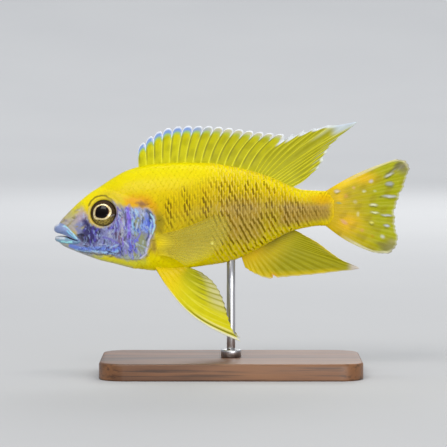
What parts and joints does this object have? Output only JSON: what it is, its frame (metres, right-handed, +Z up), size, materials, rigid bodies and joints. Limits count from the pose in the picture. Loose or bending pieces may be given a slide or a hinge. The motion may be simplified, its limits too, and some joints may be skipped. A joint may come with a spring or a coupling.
{
  "type": "peacock cichlid",
  "caption": "Life-size still model of a yellow cichlid fish swimming with raised fins, held on a flat base by an upright rod.",
  "frame": {"origin": "on the surface that the stand rests on, under the middle of the whole model's length and width", "axes": "+X from the fish's head to its tail, -Y towards its left side, +Z up"},
  "size_m": [0.125, 0.052, 0.0891],
  "materials": {
    "body_scales": "bright yellow scales with faint brown bars, slightly wet gloss",
    "head_skin": "yellow forehead over a blue-violet face",
    "gill_cover_skin": "blue and violet, mottled",
    "lip_skin": "pale blue lips",
    "eye": "dark iris, gold ring, black pupil, clear wet gloss",
    "fin_membrane": "olive-yellow membrane with brighter rays and pale blue edges",
    "tail_fin_membrane": "orange-yellow to olive membrane with pale blue spots",
    "clear_fin_membrane": "thin, nearly clear membrane with pale rays",
    "stand_wood": "dark wood, satin",
    "stand_metal": "brushed"
  },
  "bodies": {
    "root": {"upper_lip": "lip_skin", "lower_jaw": "lip_skin", "head": "head_skin", "left_gill_cover": "gill_cover_skin", "right_gill_cover": "gill_cover_skin", "left_eye": "eye", "right_eye": "eye", "trunk_front": "body_scales", "trunk_rear": "body_scales", "tail_stem": "body_scales", "dorsal_fin_spiny": "fin_membrane", "dorsal_fin_soft": "fin_membrane", "anal_fin": "fin_membrane", "tail_fin": "tail_fin_membrane", "left_pelvic_fin": "fin_membrane", "right_pelvic_fin": "fin_membrane", "left_pectoral_fin": "clear_fin_membrane", "right_pectoral_fin": "clear_fin_membrane", "stand_base": "stand_wood", "stand_collar": "stand_metal", "stand_rod": "stand_metal"}
  },
  "joints": []
}
